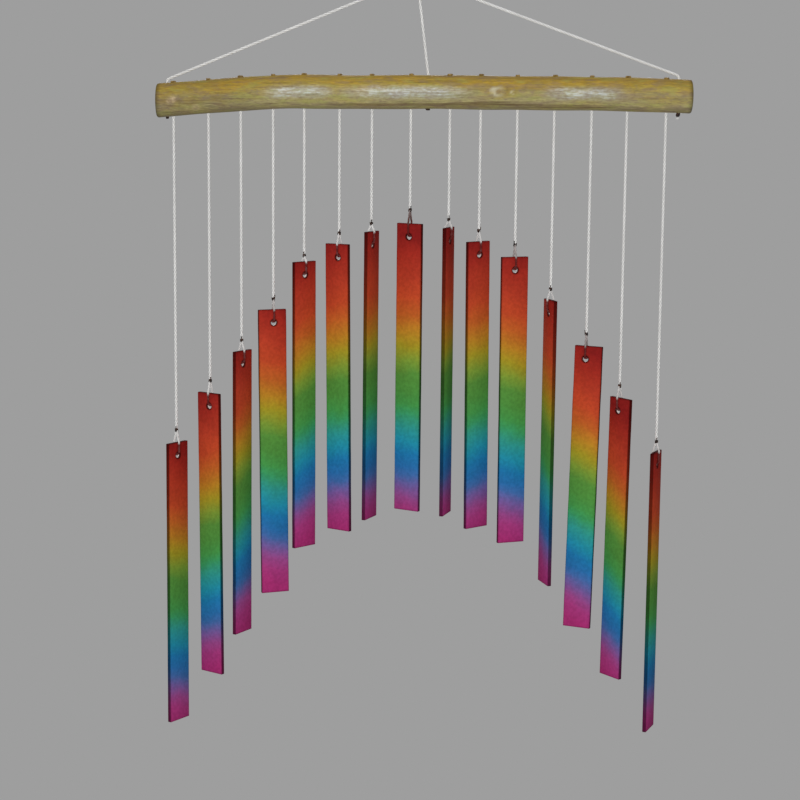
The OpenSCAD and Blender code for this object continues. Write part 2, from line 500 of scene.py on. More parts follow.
@dataclass(frozen=True)
class SprayedGlass(Finish):
    """Bands of sprayed colour along a glass strip, with the fine dots that the spray leaves."""

    name: str
    # Share of the bands' brightness; below 1 it makes the darker copy for the strip's sides, as painted
    # shade
    shade: float = 1.0
    rough: float = 0.76
    shine: float = 0.03
    drift_scale: Xyz = (70, 70, 55)
    drift_reach: float = 0.03
    dot_scale: Xyz = (2100, 2100, 2100)
    dot_reach: float = 0.035
    mist_scale: Xyz = (430, 430, 430)
    mist_tone: float = 0.09
    # Darker borders on the faces: partly thicker paint, partly painted shade
    rim_reach: tuple[float, float] = (0.06, 0.008)
    rim_tone: float = 0.7
    # Dark ring round the hole: partly pooled paint, partly painted shade of the hole's wall
    hole_reach: tuple[float, float] = (1.1, 1.75)
    hole_tone: float = 0.34
    relief: float = 0.00004
    bands: Stops = (
        (0.00, (133, 30, 28)),
        (0.06, (157, 43, 33)),
        (0.14, (174, 58, 38)),
        (0.21, (185, 70, 39)),
        (0.27, (185, 93, 38)),
        (0.33, (179, 125, 37)),
        (0.38, (157, 143, 37)),
        (0.43, (120, 148, 53)),
        (0.475, (83, 136, 57)),
        (0.53, (76, 138, 61)),
        (0.58, (67, 145, 72)),
        (0.61, (58, 148, 93)),
        (0.66, (46, 146, 139)),
        (0.71, (34, 138, 163)),
        (0.755, (31, 115, 167)),
        (0.80, (41, 106, 165)),
        (0.83, (64, 103, 163)),
        (0.87, (115, 87, 150)),
        (0.91, (148, 68, 130)),
        (0.945, (160, 55, 118)),
        (1.00, (160, 45, 107)),
    )

    def dress(self, s: Shader) -> None:
        """Sprays the bands, with darker borders that are partly thicker paint and partly painted shade, and
        a dark ring round its hole that is partly pooled paint and partly painted shade.

        Args:
            s: The material's shader.
        """
        along, _ = s.layer("spray")
        drift = s.grain(self.drift_scale, 2.0)
        dots = s.grain(self.dot_scale, 1.0)
        mist = s.grain(self.mist_scale, 2.0)
        place = s.plus(along, s.times(drift, self.drift_reach), s.times(dots, self.dot_reach))
        place = s.calc("SUBTRACT", place, (self.drift_reach + self.dot_reach) / 2)
        colour = s.ramp(place, self.bands)
        # darker borders along the faces: partly thicker paint, partly painted shade
        for share, reach in zip(s.layer("cut"), self.rim_reach):
            rim = s.calc("MINIMUM", share, s.calc("SUBTRACT", 1.0, share))
            colour = s.tone(colour, rim, 0.0, reach, self.rim_tone, 1.0)
        # dark ring round the hole: partly pooled paint, partly painted shade of the hole's wall
        out = s.calc("SQRT", s.plus(*[s.times(side, side) for side in s.layer("bore")]))
        colour = s.tone(colour, out, *self.hole_reach, self.hole_tone, 1.0)
        tones = [self.shade * (1 + side * self.mist_tone) for side in (-1, 1)]
        colour = s.tone(colour, mist, 0.3, 0.7, *tones)
        colour = s.tone(colour, drift, 0.25, 0.75, 0.95, 1.06)
        rough = s.span(mist, 0.2, 0.8, self.rough - 0.08, self.rough + 0.08)
        s.set(Base_Color=colour, Roughness=rough, Specular_IOR_Level=self.shine)
        s.bump(s.plus(dots, mist), self.relief, 0.35)


@dataclass(frozen=True)
class GroundGlass(Finish):
    """The frosted wall of a bored hole, with paint in its front part."""

    name: str = "ground_glass"
    pale: Rgb = (250, 243, 239)
    pink: Rgb = (232, 200, 192)
    paint: Rgb = (82, 20, 18)
    paint_depth: tuple[float, float] = (0.4, 0.54)
    frost_scale: Xyz = (2600, 2600, 2600)
    relief: float = 0.00008

    def dress(self, s: Shader) -> None:
        """Frosts the wall and lets the paint run into it.

        Args:
            s: The material's shader.
        """
        frost = s.grain(self.frost_scale)
        colour = s.between(frost, 0.4, 0.75, self.pale, self.pink)
        _, depth = s.layer("spray")
        edge = s.plus(depth, s.times(frost, 0.1))
        colour = s.glaze(colour, s.span(edge, *self.paint_depth, 1.0, 0.0), self.paint)
        s.set(Base_Color=colour, Roughness=s.span(frost, 0.2, 0.8, 0.42, 0.7))
        s.bump(frost, self.relief, 0.6)


@dataclass(frozen=True)
class TwistedCord(Finish):
    """Pale twisted cord with painted shade in the grooves between its strands, stained by wet paint where
    its points say so.
    """

    name: str = "twisted_cord"
    pale: Rgb = (247, 247, 246)
    grey: Rgb = (226, 225, 223)
    stain: Rgb = (84, 40, 33)
    # red spray on the cord, darker than the strips' own red: the extra darkness is painted shade
    paint: Rgb = (96, 24, 21)
    fibre_scale: Xyz = (2800, 2800, 900)
    soil_scale: Xyz = (130, 130, 90)
    blotch_scale: Xyz = (700, 700, 700)
    relief: float = 0.0001

    def dress(self, s: Shader) -> None:
        """Varies the fibres' colour and paints shade into the grooves between the strands, then stains
        them.

        Args:
            s: The material's shader.
        """
        fibre = s.grain(self.fibre_scale)
        soil = s.grain(self.soil_scale, 2.0)
        colour = s.between(fibre, 0.3, 0.72, self.grey, self.pale)
        colour = s.tone(colour, soil, 0.3, 0.75, 0.93, 1.03)
        # painted shade in the grooves between the strands, darker the deeper a point lies
        colour = s.tone(colour, s.attribute("groove"), 0.12, 0.55, 1.0, 0.35)
        blotch = s.span(s.grain(self.blotch_scale, 2.0), 0.3, 0.65, 0.93, 1.0)
        # the spray's red on the cord carries painted shade
        for name, over in (("stain", self.stain), ("paint", self.paint)):
            colour = s.glaze(colour, s.times(s.attribute(name), blotch), over)
        s.set(Base_Color=colour, Roughness=s.span(fibre, 0.2, 0.8, 0.55, 0.8), Specular_IOR_Level=0.15)
        s.bump(fibre, self.relief, 0.5)


@dataclass(frozen=True)
class SingedCord(Finish):
    """Cord ends that were melted brown over a flame."""

    name: str = "singed_cord"
    char: Rgb = (24, 14, 12)
    toast: Rgb = (74, 46, 32)
    patch_scale: Xyz = (480, 480, 480)
    speck_scale: Xyz = (2400, 2400, 2400)
    relief: float = 0.0001

    def dress(self, s: Shader) -> None:
        """Browns the cord in patches and specks.

        Args:
            s: The material's shader.
        """
        patch = s.grain(self.patch_scale)
        speck = s.grain(self.speck_scale, 2.0)
        colour = s.between(patch, 0.42, 0.72, self.char, self.toast)
        colour = s.tone(colour, speck, 0.25, 0.8, 0.8, 1.2)
        s.set(Base_Color=colour, Roughness=s.span(patch, 0.3, 0.7, 0.45, 0.7), Specular_IOR_Level=0.25)
        s.bump(s.plus(patch, speck), self.relief, 0.6)


@dataclass(frozen=True)
class VarnishedBranch(Finish):
    """Peeled wood under thin varnish: golden above, olive on the flanks and dark underneath."""

    name: str = "varnished_branch"
    heights: Stops = (
        (0.00, (148, 138, 94)),
        (0.12, (168, 158, 110)),
        (0.30, (156, 146, 93)),
        (0.50, (155, 140, 85)),
        (0.65, (162, 142, 74)),
        (0.82, (165, 143, 62)),
        (1.00, (164, 134, 56)),
    )
    # colour of the painted highlight on the glossy patches
    pale: Rgb = (197, 214, 226)
    gold: Rgb = (178, 145, 52)
    mauve: Rgb = (134, 114, 98)
    moss: Rgb = (158, 160, 84)
    dark: Rgb = (84, 58, 34)
    # brown of each scar's dark middle, which also stands for painted shade on the scar's right side
    scar: Rgb = (108, 90, 46)
    # colour of the painted highlight on the left side of each scar's raised rim
    lip_highlight: Rgb = (212, 208, 180)
    blot: Rgb = (214, 190, 156)
    broad_scale: Xyz = (34, 130, 130)
    streak_scale: Xyz = (75, 620, 620)
    mottle_scale: Xyz = (70, 210, 210)
    fleck_scale: Xyz = (330, 760, 760)
    fibre_scale: Xyz = (170, 2300, 2300)
    crack_scale: Xyz = (9, 520, 520)
    pore_scale: Xyz = (240, 4200, 4200)
    # Place and half length of each glossy patch of varnish, which also carries a painted highlight
    polish_and_painted_highlight: tuple[tuple[float, float], ...] = ((-0.087, 0.020), (-0.006, 0.038), (0.124, 0.024))
    # Place, height, half length and strength of each pale blot
    blots: tuple[tuple[float, float, float, float], ...] = (
        (-0.1800, 0.0, 0.0042, 0.48),
        (-0.1818, -0.12, 0.0036, 0.42),
        (-0.1630, -0.58, 0.0036, 0.40),
    )
    relief: float = 0.00018

    def dress(self, s: Shader) -> None:
        """Lays the wood's colours over one another, from broad to fine, then its glossy varnish with a
        painted highlight, and its wear, with painted shade at the left end and near both ends.

        Args:
            s: The material's shader.
        """
        x = s.axis("X")
        up = s.attribute("up")
        front = s.span(s.axis("Y"), 0.004, -0.004, 0.2, 1.0)
        broad = s.grain(self.broad_scale)
        streak = s.grain(self.streak_scale, 4.0)
        mottle = s.grain(self.mottle_scale, 2.0)
        fleck = s.grain(self.fleck_scale, 2.0)
        fibre = s.grain(self.fibre_scale)
        crack = s.grain(self.crack_scale, 2.0)
        pore = s.span(s.grain(self.pore_scale, 2.0), 0.58, 0.7, 0.0, 0.45)

        drift = s.times(s.calc("SUBTRACT", broad, 0.5), 0.7)
        height = s.plus(up, drift, s.times(s.calc("SUBTRACT", streak, 0.5), 0.6))
        colour = s.ramp(s.span(height, -1.0, 1.0), self.heights)
        amber = s.times(s.span(broad, 0.46, 0.62), s.span(up, -0.3, 0.6, 0.15, 0.65))
        colour = s.glaze(colour, amber, self.gold)
        colour = s.tone(colour, fibre, 0.25, 0.75, 0.84, 1.14)
        colour = s.tone(colour, streak, 0.3, 0.62, 0.84, 1.08)
        colour = s.glaze(colour, s.span(mottle, 0.5, 0.68, 0.0, 0.42), self.mauve)
        colour = s.glaze(colour, s.span(mottle, 0.48, 0.32, 0.0, 0.4), self.moss)
        dapple = s.times(s.span(fleck, 0.52, 0.68), s.span(up, 0.6, 0.0, 0.24, 0.45))
        colour = s.glaze(colour, dapple, self.mauve)
        colour = s.tone(colour, fleck, 0.3, 0.5, 1.08, 1.0)
        # painted shade over the lower part of the left end
        left_end_shade = s.times(s.span(x, -0.1, -0.14), s.span(up, 0.4, 0.1))
        colour = s.tone(colour, left_end_shade, 0.0, 1.0, 1.0, 0.86)
        worn = s.times(s.span(x, -0.095, -0.15), s.span(streak, 0.46, 0.62, 0.0, 0.32))
        colour = s.glaze(colour, worn, self.dark)

        # Glossy patches of varnish on the front, which also carry a painted highlight of the front lamp
        # along the branch's middle height
        gloss_and_painted_highlight = s.times(
            s.most(*[s.belt(x, middle, 0.5 * half, half) for middle, half in self.polish_and_painted_highlight]),
            s.belt(up, 0.0, 0.12, 0.4),
            front,
            s.span(streak, 0.3, 0.62, 0.45, 1.0),
            s.span(fleck, 0.34, 0.62, 1.0, 0.45),
            s.span(fibre, 0.3, 0.65, 0.6, 1.0),
        )
        # painted highlight over the glossy patches
        colour = s.glaze(colour, s.times(gloss_and_painted_highlight, 0.64), self.pale)
        for middle, height, half, share in self.blots:
            round_x = s.belt(x, middle, 0.2 * half, half)
            round_up = s.belt(up, height, 0.04, 0.8 * half / (PLAN.beam_d / 2))
            spot = s.times(round_x, round_up, front, s.span(fleck, 0.3, 0.66, share, 0.3 * share))
            colour = s.glaze(colour, spot, self.blot)

        colour = s.glaze(colour, pore, self.dark)
        vein = s.times(s.span(crack, 0.58, 0.66), s.span(up, -0.2, -0.6, 0.2, 0.55))
        colour = s.glaze(colour, vein, self.dark)
        groove = s.belt(s.plus(up, s.times(broad, 0.12)), -0.68, 0.03, 0.1)
        colour = s.glaze(colour, s.times(groove, s.belt(x, 0.044, 0.075, 0.045), 0.4), self.dark)
        # painted highlight on the left side of each scar's raised rim
        colour = s.glaze(colour, s.times(s.attribute("lip_highlight"), 0.58), self.lip_highlight)
        # each scar's dark middle: its own brown, and painted shade on its right side
        colour = s.glaze(colour, s.times(s.attribute("scar"), 0.4), self.scar)
        # painted shade near both ends of the branch
        colour = s.tone(colour, s.attribute("end"), 0.1, 1.0, 1.0, 0.5)

        rough = s.span(broad, 0.3, 0.7, 0.5, 0.62)
        s.set(Base_Color=colour, Roughness=rough, Specular_IOR_Level=0.2)
        s.set(Coat_Weight=s.times(gloss_and_painted_highlight, 0.7), Coat_Roughness=0.3)
        s.bump(s.calc("SUBTRACT", s.plus(fibre, streak), pore), self.relief, 0.6)


@dataclass(frozen=True)
class SawnWood(Finish):
    """Sawn end grain and bore walls, with growth rings round the pith."""

    name: str = "sawn_wood"
    early: Rgb = (186, 152, 92)
    late: Rgb = (134, 98, 52)
    wander_scale: Xyz = (160, 160, 160)
    saw_scale: Xyz = (900, 900, 160)
    ring_rate: float = 58.0
    relief: float = 0.0002

    def dress(self, s: Shader) -> None:
        """Draws the growth rings and the marks of the saw.

        Args:
            s: The material's shader.
        """
        out = s.plus(s.attribute("pith"), s.times(s.grain(self.wander_scale), 0.12))
        rings = s.calc("SINE", s.times(out, self.ring_rate))
        saw = s.grain(self.saw_scale, 2.0)
        colour = s.between(rings, -0.6, 0.9, self.early, self.late)
        colour = s.tone(colour, saw, 0.25, 0.75, 0.85, 1.08)
        s.set(Base_Color=colour, Roughness=s.span(saw, 0.2, 0.8, 0.55, 0.75))
        s.bump(saw, self.relief, 0.5)


@dataclass(frozen=True)
class BrushedSteel(Finish):
    """Plain steel wire with fine drawing lines."""

    name: str = "brushed_steel"
    bright: Rgb = (206, 207, 210)
    dull: Rgb = (150, 150, 152)
    line_scale: Xyz = (900, 2600, 900)
    cloud_scale: Xyz = (140, 140, 140)
    relief: float = 0.00003

    def dress(self, s: Shader) -> None:
        """Draws the lines and a dull cloud.

        Args:
            s: The material's shader.
        """
        lines = s.grain(self.line_scale)
        colour = s.between(s.grain(self.cloud_scale, 2.0), 0.3, 0.7, self.dull, self.bright)
        s.set(Base_Color=colour, Metallic=1.0, Roughness=s.span(lines, 0.2, 0.8, 0.22, 0.42))
        s.bump(lines, self.relief, 0.4)


@dataclass(frozen=True)
class Finishes:
    """Every material of the chime, made once."""

    paint: Material
    edge: Material
    hole: Material
    cord: Material
    singed: Material
    toasted: Material
    bark: Material
    sawn: Material
    steel: Material

    @classmethod
    def make(cls) -> "Finishes":
        """Builds all the materials.

        Returns:
            The set of materials.
        """
        return cls(
            paint=SprayedGlass("sprayed_glass").make(),
            # the strip's sides: the same bands at about a third of their brightness, as painted shade
            edge=SprayedGlass("sprayed_edge_painted_shade", shade=0.34, rough=0.8, shine=0.02).make(),
            hole=GroundGlass().make(),
            cord=TwistedCord().make(),
            singed=SingedCord().make(),
            toasted=SingedCord("toasted_cord", (122, 99, 56), (178, 148, 88)).make(),
            bark=VarnishedBranch().make(),
            sawn=SawnWood().make(),
            steel=BrushedSteel().make(),
        )


# Making meshes


def resample(points: Sequence[Vector], step: float) -> Line:
    """Spreads points evenly along a line.

    Args:
        points: The line's corners.
        step: About how far apart the new points are.

    Returns:
        The new points, with both ends kept.
    """
    lengths = [(b - a).length for a, b in zip(points, points[1:])]
    count = max(2, math.ceil(sum(lengths) / step))
    spacing = sum(lengths) / count
    made, leg, before = [points[0].copy()], 0, 0.0
    for k in range(1, count):
        while leg < len(lengths) - 1 and before + lengths[leg] < k * spacing:
            before += lengths[leg]
            leg += 1
        made.append(points[leg].lerp(points[leg + 1], (k * spacing - before) / lengths[leg]))
    return made + [points[-1].copy()]


def rounded(points: Sequence[Vector], steps: int = 8) -> Line:
    """Runs a smooth curve through points.

    Args:
        points: Points to pass through.
        steps: New points for each stretch between two of them.

    Returns:
        Points along the curve.
    """
    ends = [2 * points[0] - points[1], *points, 2 * points[-1] - points[-2]]
    made = []
    for a, b, c, d in zip(ends, ends[1:], ends[2:], ends[3:]):
        square = 2 * a - 5 * b + 4 * c - d
        cube = 3 * b - a - 3 * c + d
        for k in range(steps):
            t = k / steps
            made.append(0.5 * (2 * b + (c - a) * t + square * t**2 + cube * t**3))
    return made + [points[-1].copy()]


def tubes(lines: Sequence[Line], radius: float, smooth: int = 1, closed: bool = False) -> Mesh:
    """Sweeps a round section along lines.

    Args:
        lines: The lines that the tubes follow.
        radius: Radius of the section.
        smooth: How round the section is.
        closed: Whether each line joins its own start.

    Returns:
        One mesh with all the tubes.
    """
    curve = bpy.data.curves.new("strands", "CURVE")
    curve.dimensions = "3D"
    curve.bevel_depth = radius
    curve.bevel_resolution = smooth
    curve.use_fill_caps = True
    for line in lines:
        spline = curve.splines.new("POLY")
        spline.points.add(len(line) - 1)
        spline.points.foreach_set("co", [value for p in line for value in (*p, 1.0)])
        spline.use_cyclic_u = closed
    holder = bpy.data.objects.new("strands", curve)
    mesh = bpy.data.meshes.new_from_object(holder)
    bpy.data.objects.remove(holder)
    bpy.data.curves.remove(curve)
    return mesh


@dataclass(frozen=True)
class Ply:
    """Strands twisted into a cord."""

    strands: int = 3
    outer_d: float = 0.0021
    strand_d: float = 0.00106
    pitch: float = 0.0100
    points_per_turn: int = 12

    def lay(self, path: Sequence[Vector]) -> Mesh:
        """Twists the strands along a path.

        Args:
            path: The middle of the cord.

        Returns:
            The cord's mesh.
        """
        line = resample(path, self.pitch / self.points_per_turn)
        step = (line[1] - line[0]).length
        offset = (self.outer_d - self.strand_d) / 2
        side = (line[1] - line[0]).normalized().orthogonal()
        strands: list[Line] = [[] for _ in range(self.strands)]
        for k, point in enumerate(line):
            ahead = (line[min(k + 1, len(line) - 1)] - line[max(k - 1, 0)]).normalized()
            side = (side - ahead * side.dot(ahead)).normalized()
            other = ahead.cross(side)
            for n, strand in enumerate(strands):
                turn = math.tau * (n / self.strands + k * step / self.pitch)
                strand.append(point + offset * (math.cos(turn) * side + math.sin(turn) * other))
        mesh = tubes(strands, self.strand_d / 2)
        self.shade(mesh, path)
        return mesh

    def shade(self, mesh: Mesh, path: Sequence[Vector]) -> None:
        """Stores how deep each point lies between the strands, for the painted shade in the grooves.

        Args:
            mesh: The cord's mesh.
            path: The middle of the cord.
        """
        line = resample(path, self.outer_d / 6)
        tree = KDTree(len(line))
        for k, point in enumerate(line):
            tree.insert(point, k)
        tree.balance()
        deep = [1 - tree.find(v.co)[2] / (self.outer_d / 2) for v in mesh.vertices]
        store(mesh, "groove", deep)


FREE_PLY = Ply()
TIGHT_PLY = Ply(outer_d=0.0016, strand_d=0.00082)


def overhand(centre: Vector, radius: float, height: float, thick: float, turn: float) -> Mesh:
    """Ties a tight overhand knot as one crossing line, thick enough to close on itself.

    Args:
        centre: The knot's middle.
        radius: Its outside radius.
        height: Its height.
        thick: Thickness of the cord in it.
        turn: Turn about the upright, in radians.

    Returns:
        The knot's mesh.
    """
    reach = (radius - thick / 2) / 3
    rise = (height - thick) / 2
    spin = Matrix.Rotation(turn, 3, "Z")
    line = []
    for k in range(KNOT_STEPS):
        t = math.tau * k / KNOT_STEPS
        flat = Vector((math.sin(t) + 2 * math.sin(2 * t), math.cos(t) - 2 * math.cos(2 * t), 0))
        line.append(centre + spin @ flat * reach + Vector((0, 0, -math.sin(3 * t) * rise)))
    return tubes([line], thick / 2, 2, closed=True)


def bead(centre: Vector, size: Sequence[float], rough: float, seed: float) -> Mesh:
    """A melted lump of cord.

    Args:
        centre: The lump's middle.
        size: Its half sizes.
        rough: How far its surface wanders, as a share of its size.
        seed: Shift of the pattern, so that no two lumps match.

    Returns:
        The lump's mesh.
    """
    bm = bmesh.new()
    bmesh.ops.create_icosphere(bm, subdivisions=3, radius=1.0)
    for v in bm.verts:
        v.co *= 1 + rough * noise.noise(v.co * LUMPS + Vector((seed, 0, seed)))
    bmesh.ops.scale(bm, vec=size, verts=bm.verts)
    bmesh.ops.translate(bm, vec=centre, verts=bm.verts)
    return to_mesh(bm, "bead")


def to_mesh(bm: bmesh.types.BMesh, name: str) -> Mesh:
    """Turns a bmesh into a mesh and frees it.

    Args:
        bm: The bmesh. It is used up.
        name: The mesh's name.

    Returns:
        The mesh.
    """
    mesh = bpy.data.meshes.new(name)
    bm.to_mesh(mesh)
    bm.free()
    return mesh


def soften(bm: bmesh.types.BMesh, edges: list, radius: float, steps: int) -> None:
    """Rounds some edges of a bmesh by a radius, in a number of steps."""
    shape = {"offset": radius, "segments": steps, "profile": 0.5}
    bmesh.ops.bevel(bm, geom=edges, affect="EDGES", material=-1, **shape)


def turn_on_y(bm: bmesh.types.BMesh, outline: list, steps: int) -> None:
    """Turns an outline right round the Y axis, in a number of steps."""
    axis = {"cent": (0, 0, 0), "axis": (0, 1, 0), "angle": math.tau}
    bmesh.ops.spin(bm, geom=outline, steps=steps, use_merge=True, **axis)


def carve(body: Mesh, cutter: Mesh) -> Mesh:
    """Cuts one mesh out of another.

    Args:
        body: The mesh that stays. It is used up.
        cutter: The mesh that is taken away. It is used up.

    Returns:
        What is left of the body.
    """
    held = bpy.data.objects.new("held", body)
    tool = bpy.data.objects.new("tool", cutter)
    for obj in (held, tool):
        bpy.context.scene.collection.objects.link(obj)
    cut = held.modifiers.new("cut", "BOOLEAN")
    cut.object = tool
    cut.solver = "EXACT"
    graph = bpy.context.evaluated_depsgraph_get()
    made = bpy.data.meshes.new_from_object(held.evaluated_get(graph), depsgraph=graph)
    for obj in (held, tool):
        bpy.data.objects.remove(obj)
    for mesh in (body, cutter):
        bpy.data.meshes.remove(mesh)
    bm = bmesh.new()
    bm.from_mesh(made)
    bmesh.ops.dissolve_degenerate(bm, dist=SLIVER, edges=bm.edges)
    bm.to_mesh(made)
    bm.free()
    return made


def assemble(name: str, parts: Sequence[Part], materials: Sequence[Material]) -> Object:
    """Joins meshes into one shown piece.

    Args:
        name: The piece's name.
        parts: Each mesh with the number of its material, or -1 to keep its own numbers.
        materials: The piece's materials.

    Returns:
        The piece, at the origin.
    """
    bm = bmesh.new()
    for mesh, material in parts:
        before = len(bm.faces)
        bm.from_mesh(mesh)
        bm.faces.ensure_lookup_table()
        if material >= 0:
            for face in bm.faces[before:]:
                face.material_index = material
        bpy.data.meshes.remove(mesh)
    for face in bm.faces:
        face.smooth = True
    joined = to_mesh(bm, name)
    for material in materials:
        joined.materials.append(material)
    piece = bpy.data.objects.new(name, joined)
    bpy.context.scene.collection.objects.link(piece)
    return piece


def store(mesh: Mesh, name: str, values: Sequence[float]) -> None:
    """Stores one number on each point of a mesh, under a name."""
    mesh.attributes.new(name, "FLOAT", "POINT").data.foreach_set("value", values)


def settle(piece: Object, body: str, slot: str, *nodes: str) -> None:
    """Makes a piece ride on its body in place of its solids.

    Args:
        piece: The piece.
        body: The body that it rides on.
        slot: A material slot's name; not used.
        *nodes: The solids that it stands for.
    """
    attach(piece, body)
    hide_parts(*nodes)
    LOG.info("%s on %s", piece.name, body)


# Camera and studio


@dataclass(frozen=True)
class PhotoCamera:
    """The photograph's viewpoint."""

    place: Xyz = (0.00016, -1.47865, -0.10825)
    focal_px: float = 1963.5
    pitch: float = 8.950
    yaw: float = -0.388
    roll: float = 0.521
    clip_start: float = 0.05
    clip_end: float = 50.0

    def build(self) -> None:
        """Sets up the camera."""
        pitch, yaw, roll = (math.radians(a) for a in (self.pitch, self.yaw, self.roll))
        ahead = Vector((math.sin(yaw) * math.cos(pitch), math.cos(yaw) * math.cos(pitch), -math.sin(pitch)))
        level = Vector((math.cos(yaw), -math.sin(yaw), 0))
        up = level.cross(ahead)
        right = math.cos(roll) * level + math.sin(roll) * up
        top = right.cross(ahead)
        data = bpy.data.cameras.new("photo_camera")
        data.sensor_fit = "HORIZONTAL"
        data.sensor_width = SENSOR_MM
        data.lens = self.focal_px / IMAGE_PX * SENSOR_MM
        data.clip_start = self.clip_start
        data.clip_end = self.clip_end
        camera = bpy.data.objects.new("photo_camera", data)
        facing = Matrix((right, top, -ahead)).transposed().to_4x4()
        camera.matrix_world = Matrix.Translation(self.place) @ facing
        bpy.context.scene.collection.objects.link(camera)
        bpy.context.scene.camera = camera


@dataclass(frozen=True)
class Studio:
    """Plain grey room, soft lamps and a pale floor well below the chime."""

    grey: Rgb = (158, 158, 158)
    light: tuple[float, float, float, float] = (1.0, 0.99, 0.975, 1.0)
    light_power: float = 0.28
    floor_z: float = -1.6
    floor_r: float = 2.4
    floor_pale: Rgb = (214, 213, 210)
    floor_fade: tuple[float, float] = (0.35, 0.97)
    floor_cloud: Xyz = (3, 3, 3)
    aim: Xyz = (0.0, 0.0, -0.33)
    # Name, place, side and power of each lamp
    lamps: tuple[tuple[str, Xyz, float, float], ...] = (
        ("front", (-0.25, -2.45, 0.15), 1.2, 43.0),
        ("over", (0.3, -0.3, 1.5), 1.4, 3.0),
        ("back", (0.0, 2.45, 0.3), 1.4, 24.0),
    )

    def build(self) -> None:
        """Sets up the room, the lamps and the floor."""
        bpy.context.scene.view_settings.view_transform = "Standard"
        self.room()
        for lamp in self.lamps:
            self.lamp(*lamp)
        self.floor()

    def room(self) -> None:
        """Shows grey wherever the room is seen, and gives soft white light elsewhere."""
        world = bpy.data.worlds.new("room")
        room = Nodes(world)
        seen = room.tree.nodes["Background"]
        room.feed(seen.inputs["Color"], linear(self.grey))
        light = room.node("Background", self.light, self.light_power)
        rays = room.node("LightPath").outputs
        share = room.most(*[rays[f"Is {kind} Ray"] for kind in ("Camera", "Glossy", "Transmission")])
        mix = room.node("MixShader", share, light.outputs[0], seen.outputs[0])
        room.feed(room.tree.nodes["World Output"].inputs["Surface"], mix.outputs[0])
        bpy.context.scene.world = world

    def lamp(self, name: str, place: Sequence[float], size: float, power: float) -> None:
        """Hangs a soft square lamp that faces the chime.

        Args:
            name: The lamp's name.
            place: Where it hangs.
            size: Its side.
            power: Its power in watts.
        """
        data = bpy.data.lights.new(name, "AREA")
        data.size = size
        data.energy = power
        lamp = bpy.data.objects.new(name, data)
        facing = (Vector(self.aim) - Vector(place)).to_track_quat("-Z", "Y").to_matrix().to_4x4()
        lamp.matrix_world = Matrix.Translation(place) @ facing
        bpy.context.scene.collection.objects.link(lamp)

    def floor(self) -> None:
        """Lays a round floor that fades out at its rim."""
        bm = bmesh.new()
        bmesh.ops.create_circle(bm, cap_ends=True, segments=96, radius=self.floor_r)
        bmesh.ops.translate(bm, vec=(0, 0, self.floor_z), verts=bm.verts)
        s = Shader("floor")
        colour = s.tone(linear(self.floor_pale), s.grain(self.floor_cloud), 0.3, 0.7, 0.97, 1.0)
        s.set(Base_Color=colour, Roughness=0.8)
        flat = s.node("VectorMath", s.place((1, 1, 0)), operation="LENGTH").outputs["Value"]
        away = s.span(flat, *[share * self.floor_r for share in self.floor_fade])
        fade = s.node("MixShader", away, s.main.outputs[0], s.node("BsdfTransparent").outputs[0])
        s.feed(s.tree.nodes["Material Output"].inputs["Surface"], fade.outputs[0])
        assemble("floor", [(to_mesh(bm, "floor"), 0)], [s.material])


# The chime


@dataclass(frozen=True)
class ChimeCord:
    """The free length of cord between the branch and a strip's knot."""

    chime: Chime
    in_bore: float = 0.006
    in_knot: float = 0.0006
    bend_len: float = 0.008
    path_step: float = 0.005

    def build(self, finishes: Finishes) -> None:
        """Lays the cord from its bore down to its knot.

        Args:
            finishes: The chime's materials.
        """
        c = self.chime
        mouth = Vector((c.x, 0, PLAN.beam_low(c.x)))
        top = mouth + Vector((0, 0, self.in_bore))
        low = Vector((c.x, 0, c.knot_top - self.in_knot))
        piece = assemble(f"cord_{c.tag}", [(FREE_PLY.lay([top, low]), 0)], [finishes.cord])
        pivot = Vector((c.x, 0, c.pivot_z))
        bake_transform(piece)
        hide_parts(f"chime_cord_{c.tag}")
        resample([top, low], self.path_step)
        LOG.info("%s between hanger and cord_%s", piece.name, c.tag)


